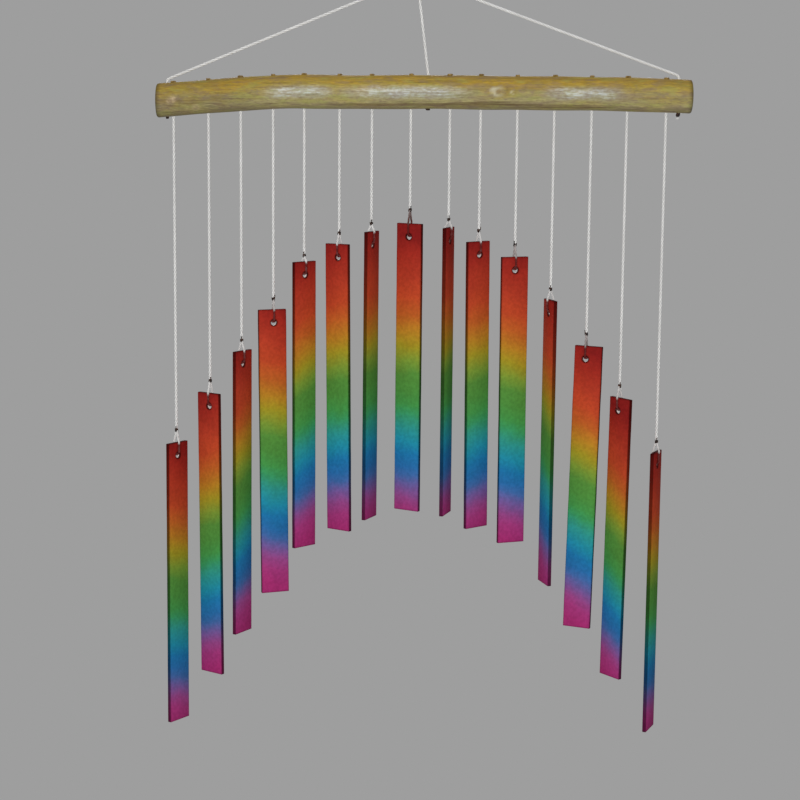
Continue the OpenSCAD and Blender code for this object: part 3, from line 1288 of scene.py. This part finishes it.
@dataclass(frozen=True)
class TiedLoop:
    """The knot over a strip and the loop that passes down both faces and through the hole."""

    chime: Chime
    tail_len: float = 0.0026
    snug: float = 0.42
    clot_rise: float = 0.38
    clot: Xyz = (0.84, 0.44, 0.5)

    def path(self) -> Line:
        """Finds the loop's middle line, down one face and up the other.

        Returns:
            Points along it, before the strip's turn.
        """
        c = self.chime
        leg = PLAN.strip_t / 2 + PLAN.cord_r + PLAN.cord_clear / 2
        inside = c.hole_z + PLAN.hole_d / 2 - PLAN.cord_r - PLAN.cord_clear / 3
        knot_low = c.tie_z - PLAN.tie_knot_h / 2
        gap = knot_low - c.strip_top
        half = [
            (0.6 * PLAN.cord_r, c.tie_z),
            (0.8 * PLAN.cord_r, knot_low),
            (0.55 * leg, c.strip_top + 0.55 * gap),
            (0.92 * leg, c.strip_top + 0.16 * gap),
            (leg, c.strip_top - 0.6 * PLAN.cord_r),
            (leg, inside + 2.4 * PLAN.cord_r),
            (leg - 0.15 * PLAN.cord_r, inside + 1.2 * PLAN.cord_r),
            (leg - 0.75 * PLAN.cord_r, inside + 0.3 * PLAN.cord_r),
            (leg - 1.6 * PLAN.cord_r, inside),
        ]
        down = [Vector((0, y, z)) for y, z in half]
        up = [Vector((0, -y, z)) for y, z in reversed(half)]
        return rounded(down + up, 6)

    def build(self, finishes: Finishes) -> None:
        """Ties the loop and its knot.

        Args:
            finishes: The chime's materials.
        """
        c = self.chime
        knot = Vector((0, 0, c.tie_z))
        side = -1 if c.number % 2 else 1
        tail = [
            knot + Vector((side * 0.4 * PLAN.cord_r, 0, 0)),
            knot + Vector((side * 1.2 * PLAN.cord_r, -0.6 * PLAN.cord_r, 1.1 * PLAN.cord_r)),
            knot + Vector((side * 1.25 * PLAN.cord_r, -0.7 * PLAN.cord_r, self.tail_len)),
        ]
        snug = self.snug * PLAN.tie_knot_d
        bore = (PLAN.hole_d / 2, PLAN.strip_t, PLAN.hole_d / 2)
        clot = [share * size for share, size in zip(self.clot, bore)]
        parts = [
            (TIGHT_PLY.lay(self.path()), 0),
            # a lump of paint in the top of the hole, in the cord's darkened red, partly painted shade
            (bead(Vector((0, 0, c.hole_z + self.clot_rise * bore[2])), clot, 0.03, c.number), 0),
            (overhand(knot, snug, 1.06 * PLAN.tie_knot_h, 0.76 * PLAN.cord_d, c.number), 1),
            (bead(knot, (0.8 * snug, 0.8 * snug, 0.45 * PLAN.tie_knot_h), 0.3, c.number), 1),
            (tubes([rounded(tail, 4)], 0.4 * PLAN.cord_r, 2), 1),
            (bead(tail[-1], [0.55 * PLAN.cord_r] * 3, 0.35, c.number), 1),
        ]
        piece = assemble(f"loop_{c.tag}", parts, [finishes.cord, finishes.singed])
        points = [v.co.copy() for v in piece.data.vertices]
        store(piece.data, "stain", [self.stained(p) for p in points])
        store(piece.data, "paint", [self.painted(p) for p in points])
        piece.data.transform(Matrix.Translation((c.x, 0, 0)) @ Matrix.Rotation(math.radians(c.yaw), 4, "Z"))
        settle(piece, f"strip_{c.tag}", "singed_cord", f"tied_loop_{c.tag}")

    def stained(self, point: Vector) -> float:
        """How much wet paint has crept up the cord at a point."""
        above = (point.z - self.chime.strip_top) / (self.chime.tie_z - self.chime.strip_top)
        return self.chime.stain * clamp(1.1 - 0.35 * above, 0.35)

    def painted(self, point: Vector) -> float:
        """How far the spray, in a red darkened as painted shade, covers the cord at a point."""
        below = (self.chime.strip_top - point.z) / (0.15 * PLAN.hole_drop)
        return clamp(below)


@dataclass(frozen=True)
class GlassStrip:
    """A flat glass strip, cut by hand, bored near its top and sprayed on all sides."""

    chime: Chime
    cuts: int = 30
    wander: float = 0.00014
    wave_rate: float = 55.0
    chamfer: float = 0.00035
    drill_steps: int = 32
    flat: float = 0.9
    wall: float = 0.3
    sharp: float = 28.0

    @property
    def hole(self) -> Vector:
        """Middle of the hole, seen from the strip's own middle."""
        rise = PLAN.strip_len / 2 - PLAN.hole_drop
        return Vector((rise * math.tan(math.radians(self.chime.lean)), 0, rise))

    def build(self, finishes: Finishes) -> None:
        """Cuts, bores and sprays the strip.

        Args:
            finishes: The chime's materials.
        """
        c = self.chime
        mesh = carve(self.blank(), self.drill())
        self.spray(mesh)
        piece = assemble(f"strip_{c.tag}", [(mesh, -1)], [finishes.paint, finishes.edge, finishes.hole])
        piece.data.set_sharp_from_angle(angle=math.radians(self.sharp))
        hang = Matrix.Translation((c.x, 0, c.hole_z))
        turn = Matrix.Rotation(math.radians(c.yaw), 4, "Z") @ Matrix.Rotation(math.radians(-c.lean), 4, "Y")
        piece.data.transform(hang @ turn @ Matrix.Translation(-self.hole))
        settle(piece, f"strip_{c.tag}", "painted_glass", f"glass_strip_{c.tag}")

    def blank(self) -> Mesh:
        """Cuts the strip, before boring, centred on its own middle.

        Returns:
            The strip with its hand-cut edges.
        """
        bm = bmesh.new()
        bmesh.ops.create_cube(bm, size=1.0)
        bmesh.ops.scale(bm, vec=(PLAN.strip_w, PLAN.strip_t, PLAN.strip_len), verts=bm.verts)
        soften(bm, bm.edges[:], PLAN.strip_arris, 2)
        long_edges = [e for e in bm.edges if e.calc_length() > 0.9 * PLAN.strip_len]
        bmesh.ops.subdivide_edges(bm, edges=long_edges, cuts=self.cuts, use_grid_fill=True)
        for v in bm.verts:
            side = math.copysign(1.0, v.co.x)
            near = max(0.0, abs(v.co.x) / (PLAN.strip_w / 2) - 0.9) * 10
            wave = noise.noise(Vector((self.chime.number * 3.1 + side, 0, v.co.z * self.wave_rate)))
            v.co.x += self.wander * near * wave
        return to_mesh(bm, "blank")

    def drill(self) -> Mesh:
        """Shapes the bored hole as a solid, with a small chamfer at each face.

        Returns:
            The solid to cut out of the strip.
        """
        r = PLAN.hole_d / 2
        face = PLAN.strip_t / 2
        wide = r + self.chamfer
        half = [(r, face - self.chamfer), (wide, face), (wide, 2 * face), (0, 2 * face)]
        outline = [(out, -deep) for out, deep in reversed(half)] + half
        bm = bmesh.new()
        points = [bm.verts.new((out, deep, 0)) for out, deep in outline]
        edges = [bm.edges.new(pair) for pair in zip(points, points[1:])]
        turn_on_y(bm, points + edges, self.drill_steps)
        bmesh.ops.remove_doubles(bm, verts=bm.verts, dist=SLIVER)
        bmesh.ops.recalc_face_normals(bm, faces=bm.faces)
        bmesh.ops.translate(bm, vec=self.hole, verts=bm.verts)
        return to_mesh(bm, "drill")

    def spray(self, mesh: Mesh) -> None:
        """Gives each face its finish, and each corner its place in the bands.

        Args:
            mesh: The bored strip, still centred on its own middle.
        """
        c = self.chime
        for face in mesh.polygons:
            off = face.center - self.hole
            facing = abs(face.normal.y)
            in_hole = math.hypot(off.x, off.z) < PLAN.hole_d / 2 + self.chamfer
            if in_hole and facing < self.wall:
                face.material_index = 2
            else:
                # the sides take the darker copy of the bands, as painted shade
                face.material_index = 0 if facing > self.flat else 1
        names = ("cut", "spray", "bore")
        for name in names:
            mesh.uv_layers.new(name=name)
        cut, bands, bore = (mesh.uv_layers[name].data for name in names)
        for loop in mesh.loops:
            point = mesh.vertices[loop.vertex_index].co
            across = point.x / PLAN.strip_w + 0.5
            down = 0.5 - point.z / PLAN.strip_len
            cut[loop.index].uv = (across, down)
            place = down - c.band_shift - c.band_slip * (down - 0.5) - c.band_tilt * (across - 0.5)
            bands[loop.index].uv = (place, point.y / PLAN.strip_t + 0.5)
            off = (point - self.hole) / (PLAN.hole_d / 2)
            bore[loop.index].uv = (off.x, off.z)


@dataclass(frozen=True)
class Branch:
    """The peeled branch, with its scars, sawn ends and bores."""

    sides: int = 80
    rings: int = 260
    cap_step: float = 0.0035
    fibre: float = 0.00009
    lump: float = 0.0001
    end_shade: float = 0.005
    end_depth: float = 0.003
    end_facing: float = 0.85
    inner: float = 0.93
    sharp: float = 40.0
    bore_sides: int = 20
    scar_reach: float = 3.0
    # Place, angle, half length, half width and rise of each scar
    scars: tuple[tuple[float, float, float, float, float], ...] = (
        (0.0614, 176.0, 0.0056, 0.0034, 0.0006),
        (0.0716, 179.0, 0.0018, 0.0015, 0.0004),
        (-0.1480, 18.0, 0.0050, 0.0032, 0.0005),
        (-0.0310, 310.0, 0.0040, 0.0028, 0.0004),
    )

    def build(self, finishes: Finishes) -> None:
        """Shapes, bores and dresses the branch.

        Args:
            finishes: The chime's materials.
        """
        mesh = carve(self.log(), self.bores())
        piece = assemble("branch", [(mesh, -1)], [finishes.bark, finishes.sawn])
        low, high = solid_box("beam")
        up, pith, scar, lip_highlight, end = [], [], [], [], []
        for v in piece.data.vertices:
            y, z = v.co.y, v.co.z - PLAN.beam_mid(v.co.x)
            angle = math.degrees(math.atan2(z, y)) % 360
            up.append(z / (PLAN.beam_d / 2))
            pith.append(math.hypot(y, z) / (PLAN.beam_d / 2))
            # the dark middle is partly painted shade, the pale rim a painted highlight
            _, dark, pale = self.scarred(v.co.x, angle)
            scar.append(dark)
            lip_highlight.append(pale)
            # painted shade near both ends
            end.append(max(0.0, 1 - min(v.co.x - low.x, high.x - v.co.x) / self.end_shade))
        for name, values in (("up", up), ("pith", pith), ("scar", scar), ("lip_highlight", lip_highlight), ("end", end)):
            store(piece.data, name, values)
        for face in piece.data.polygons:
            inner = all(pith[k] < self.inner for k in face.vertices)
            depth = min(face.center.x - low.x, high.x - face.center.x)
            at_end = abs(face.normal.x) > self.end_facing and depth <= self.end_depth
            face.material_index = 1 if inner or at_end else 0
        piece.data.set_sharp_from_angle(angle=math.radians(self.sharp))
        settle(piece, "hanger", "wood", "beam")

    def scarred(self, x: float, angle: float) -> tuple[float, float, float]:
        """How far the scars of old twigs raise and colour the surface.

        Args:
            x: Place along the branch.
            angle: Angle round it in degrees.

        Returns:
            The height in metres, the share of the dark middle, which is partly painted shade on the right
            side, and the share of the pale rim on the left side, which is a painted highlight.
        """
        height, core_and_shade, lip_highlight = 0.0, 0.0, 0.0
        for middle, at, half_x, half_s, rise in self.scars:
            turned = math.radians((angle - at + 180) % 360 - 180) * PLAN.beam_d / 2
            along = (x - middle) / half_x
            across = turned / half_s
            out = math.hypot(along, across)
            if out < self.scar_reach:
                out += 0.3 * noise.noise(Vector((x * 420, turned * 420, middle * 90)))
                height += rise * (hump(out, 0.8, 0.26) - 0.5 * hump(out, 0.0, 0.45))
                # dark middle, set towards the right side of the rim: the scar's brown and painted shade
                core_and_shade = max(core_and_shade, hump(math.hypot(along - 0.8, across), 0.0, 0.75))
                # pale rim on the left side: a painted highlight
                lip_highlight = max(lip_highlight, clamp(0.62 - 0.7 * along) * hump(out, 0.78, 0.34))
        return height, core_and_shade, lip_highlight

    def log(self) -> Mesh:
        """Grows the branch before boring.

        Returns:
            The branch's mesh.
        """
        low, high = solid_box("beam")
        radius = PLAN.beam_d / 2
        bm = bmesh.new()
        bmesh.ops.create_cone(
            bm, cap_ends=True, segments=self.sides, radius1=radius, radius2=radius, depth=high.x - low.x
        )
        bmesh.ops.rotate(bm, cent=(0, 0, 0), matrix=Matrix.Rotation(math.pi / 2, 3, "Y"), verts=bm.verts)
        bmesh.ops.translate(bm, vec=((low.x + high.x) / 2, 0, 0), verts=bm.verts)
        caps = [f for f in bm.faces if abs(f.normal.x) > 0.9]
        rims = list({e for f in caps for e in f.edges})
        soften(bm, rims, PLAN.end_round, 4)
        for _ in range(2):
            caps = [f for f in bm.faces if len(f.verts) == self.sides]
            bmesh.ops.inset_individual(bm, faces=caps, thickness=self.cap_step)
        bmesh.ops.poke(bm, faces=[f for f in bm.faces if len(f.verts) == self.sides])
        long_edges = [e for e in bm.edges if e.calc_length() > 0.5 * (high.x - low.x)]
        bmesh.ops.subdivide_edges(bm, edges=long_edges, cuts=self.rings, use_grid_fill=True)
        for v in bm.verts:
            self.weather(v, radius)
        bmesh.ops.recalc_face_normals(bm, faces=bm.faces)
        return to_mesh(bm, "log")

    def weather(self, v: bmesh.types.BMVert, radius: float) -> None:
        """Moves a point of the straight log to its place on the grown branch.

        Args:
            v: The point.
            radius: The straight log's radius.
        """
        x, angle = v.co.x, math.atan2(v.co.z, v.co.y)
        share = math.hypot(v.co.y, v.co.z) / radius
        degrees = math.degrees(angle) % 360
        ring = Vector((0, math.cos(angle), math.sin(angle)))
        fine = noise.noise(Vector((x * 9, 9 * ring.y, 9 * ring.z)))
        broad = noise.noise(Vector((x * 45, 2 * ring.y, 2 * ring.z)))
        out = PLAN.beam_rad(x, degrees) + self.fibre * fine + self.lump * broad
        out = share * out + (self.scarred(x, degrees)[0] if share > 0.99 else 0.0)
        v.co = Vector((x, out * ring.y, PLAN.beam_mid(x) + out * ring.z))

    def bores(self) -> Mesh:
        """Shapes all the upright bores.

        Returns:
            The solids to cut out of the branch, as one mesh.
        """
        bm = bmesh.new()
        r = PLAN.bore_d / 2
        deep = 2 * PLAN.beam_d
        for x in [c.x for c in CHIMES] + [side.x for side in Side]:
            made = bmesh.ops.create_cone(
                bm, cap_ends=True, segments=self.bore_sides, radius1=r, radius2=r, depth=deep
            )
            bmesh.ops.translate(bm, vec=(x, 0, PLAN.beam_mid(x)), verts=made["verts"])
        return to_mesh(bm, "bores")


@dataclass(frozen=True)
class BranchKnots:
    """The singed knots above and below the branch."""

    stem: float = 0.012
    sink: float = 0.16
    nip: float = 0.0004
    fibres: int = 9
    fibre_r: float = 0.00009

    def build(self, finishes: Finishes) -> None:
        """Ties the knots of all the cords.

        Args:
            finishes: The chime's materials.
        """
        parts: list[Part] = []
        for c in CHIMES:
            seat = PLAN.beam_top(c.x) + PLAN.knot_seat
            sunk = Vector((c.x, 0, seat + self.sink * PLAN.top_knot_h))
            parts += self.knot(sunk, c.top_knot * PLAN.top_knot_d / 2, PLAN.top_knot_h, c.number)
            parts.append((TIGHT_PLY.lay([Vector((c.x, 0, seat)), Vector((c.x, 0, seat - self.stem))]), 0))
        piece = assemble("top_knots", parts, [finishes.cord, finishes.toasted])
        settle(piece, "hanger", "singed_cord", "cord_top_knots")

        parts = []
        for n, side in enumerate(Side):
            top = PLAN.beam_low(side.x) + self.nip
            wide, high = side.snug[0] * PLAN.low_knot_d, side.snug[1] * PLAN.low_knot_h
            parts += self.knot(Vector((side.x, 0, top - high / 2)), wide / 2, high, 20 + n)
        parts.append((self.frayed(Side.RIGHT), 0))
        piece = assemble("under_knots", parts, [finishes.cord, finishes.singed])
        settle(piece, "hanger", "singed_cord", "suspension_knots")

    def knot(self, middle: Vector, radius: float, height: float, seed: float) -> list[Part]:
        """One knot with a melted lump in it.

        Args:
            middle: The knot's middle.
            radius: Its outside radius.
            height: Its height.
            seed: Its turn, and the shift of its lump's pattern.

        Returns:
            Its meshes with their material numbers.
        """
        thick = min(0.72 * PLAN.cord_d, 0.8 * height)
        lump = (0.72 * radius, 0.66 * radius, 0.48 * height)
        return [(overhand(middle, radius, height, thick, seed), 1), (bead(middle, lump, 0.3, seed), 1)]

    def frayed(self, side: Side) -> Mesh:
        """Splays the loose white fibres under one knot.

        Args:
            side: The cord whose end is frayed.

        Returns:
            The fibres' mesh.
        """
        low = Vector((side.x, 0, PLAN.beam_low(side.x) - PLAN.low_knot_h))
        lines = []
        for k in range(self.fibres):
            turn = math.tau * k / self.fibres
            out = Vector((math.cos(turn), math.sin(turn), 0))
            reach = (0.8 + 0.5 * noise.noise(Vector((k * 1.7, 0.4, 0)))) * MM
            bent = low + reach * out - Vector((0, 0, 1.1 * MM))
            tip = low + 1.5 * reach * out - Vector((0, 0, 1.6 * MM))
            lines.append(rounded([low + 0.6 * MM * out, bent, tip], 4))
        return tubes(lines, self.fibre_r, 0)


@dataclass(frozen=True)
class Suspension:
    """The three cords that carry the branch, and the knot that gathers them."""

    in_knot: float = 0.0022
    path_step: float = 0.003
    corner_steps: int = 8

    def build(self, finishes: Finishes) -> None:
        """Lays the cords and ties the knot.

        Args:
            finishes: The chime's materials.
        """
        for side in Side:
            path = self.path(side)
            piece = assemble(f"carrier_{side.name.lower()}", [(FREE_PLY.lay(path), 0)], [finishes.cord])
            settle(piece, "hanger", "cord", side.value)
            mouth = Vector((side.x, 0, PLAN.beam_top(side.x)))
            resample(path, self.path_step)
        middle = Vector((0, 0, PLAN.gather_z))
        radius = PLAN.gather_knot_d / 2
        parts = [
            (overhand(middle, radius, 0.9 * PLAN.gather_knot_d, 1.9 * PLAN.cord_d, 0.4), 0),
            (overhand(middle, 0.92 * radius, 0.98 * PLAN.gather_knot_d, 1.5 * PLAN.cord_d, 1.5), 0),
        ]
        piece = assemble("gather_tie", parts, [finishes.cord])
        settle(piece, "hanger", "cord", "gather_knot")

    def path(self, side: Side) -> Line:
        """The middle line of one cord, from its knot up through the branch to the gathering knot.

        Args:
            side: Which cord.

        Returns:
            Points along it.
        """
        x = side.x
        toward = 1 if x < 0 else -1
        mouth = Vector((x, 0, PLAN.beam_top(x) + PLAN.cord_clear))
        centre = Vector((0, 0, PLAN.gather_z))
        rise = math.atan2(centre.z - mouth.z, abs(x))
        corner = []
        for k in range(self.corner_steps + 1):
            a = k / self.corner_steps * (math.pi / 2 - rise)
            corner.append(mouth + PLAN.cord_bend * Vector((toward * (1 - math.cos(a)), 0, math.sin(a))))
        last = corner[-1]
        end = centre - (PLAN.gather_knot_d / 2 - self.in_knot) * (centre - last).normalized()
        start = Vector((x, 0, PLAN.beam_low(x) - PLAN.knot_seat))
        return [start, *corner, end]


@dataclass(frozen=True)
class Hanger:
    """The small steel ring and the cord loop that hangs from it."""

    ring_steps: int = 96
    wire_sides: int = 18
    weld_r: float = 0.0013
    weld_rise: float = 0.14
    collar_turns: float = 2.4
    neck_len: float = 0.0012

    def build(self, finishes: Finishes) -> None:
        """Bends the ring and ties the loop.

        Args:
            finishes: The chime's materials.
        """
        piece = assemble("ring", [(self.ring(), 0)], [finishes.steel])
        settle(piece, "ring", "steel", "hanging_ring")
        piece = assemble("hang_loop", [(mesh, 0) for mesh in self.loop()], [finishes.cord])
        settle(piece, "loop", "cord", "hanging_loop")

    def ring(self) -> Mesh:
        """Bends the wire into a ring with a small weld at its top.

        Returns:
            The ring's mesh.
        """
        bm = bmesh.new()
        bmesh.ops.create_circle(bm, segments=self.wire_sides, radius=PLAN.ring_wire / 2)
        bmesh.ops.translate(bm, vec=(PLAN.ring_r, 0, 0), verts=bm.verts)
        turn_on_y(bm, bm.verts[:] + bm.edges[:], self.ring_steps)
        bmesh.ops.recalc_face_normals(bm, faces=bm.faces)
        for v in bm.verts:
            away = (v.co - Vector((0, v.co.y, PLAN.ring_r))).length
            middle = Vector((v.co.x, 0, v.co.z)).normalized() * PLAN.ring_r
            v.co += self.weld_rise * hump(away, 0.0, self.weld_r) * (v.co - middle)
        return to_mesh(bm, "ring")

    def loop(self) -> list[Mesh]:
        """Ties the cord loop round the ring's wire, with a collar and a neck.

        Returns:
            The loop's meshes.
        """
        wrap_r = PLAN.ring_wire / 2 + PLAN.cord_clear + PLAN.cord_r
        low = -PLAN.ring_r - PLAN.loop_len + PLAN.knot_seat
        height = PLAN.loop_len / 3
        foot = PLAN.cord_r + PLAN.knot_seat
        angles = [math.radians(a) for a in range(-20, 201, 20)]
        arc = [Vector((0, wrap_r * math.cos(a), wrap_r * math.sin(a) - PLAN.ring_r)) for a in angles]
        near = [Vector((0, foot, low + 0.3 * height)), Vector((0, foot, low + height))]
        far = [Vector((0, -p.y, p.z)) for p in reversed(near)]
        out = PLAN.tie_knot_d / 2 + PLAN.knot_seat - 0.35 * PLAN.cord_d
        wrap = []
        for share in (k / KNOT_STEPS for k in range(KNOT_STEPS + 1)):
            turn = math.tau * self.collar_turns * share
            rise = low + height * (0.2 + 0.6 * share)
            wrap.append(Vector((out * math.cos(turn), out * math.sin(turn), rise)))
        neck = [Vector((0, 0, low + 0.6 * height)), Vector((0, 0, low - self.neck_len))]
        lines = [rounded(near + arc + far, 5), neck]
        return [TIGHT_PLY.lay(line) for line in lines] + [tubes([wrap], 0.42 * PLAN.cord_d, 2)]


def main() -> None:
    """Builds the chime round its solids."""
    logging.basicConfig(level=logging.INFO, format="%(message)s")
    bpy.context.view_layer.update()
    PhotoCamera().build()
    finishes = Finishes.make()
    for chime in CHIMES:
        ChimeCord(chime).build(finishes)
    Suspension().build(finishes)
    Branch().build(finishes)
    BranchKnots().build(finishes)
    for chime in CHIMES:
        TiedLoop(chime).build(finishes)
        GlassStrip(chime).build(finishes)
    Hanger().build(finishes)
    Studio().build()


if __name__ == "__main__":
    main()
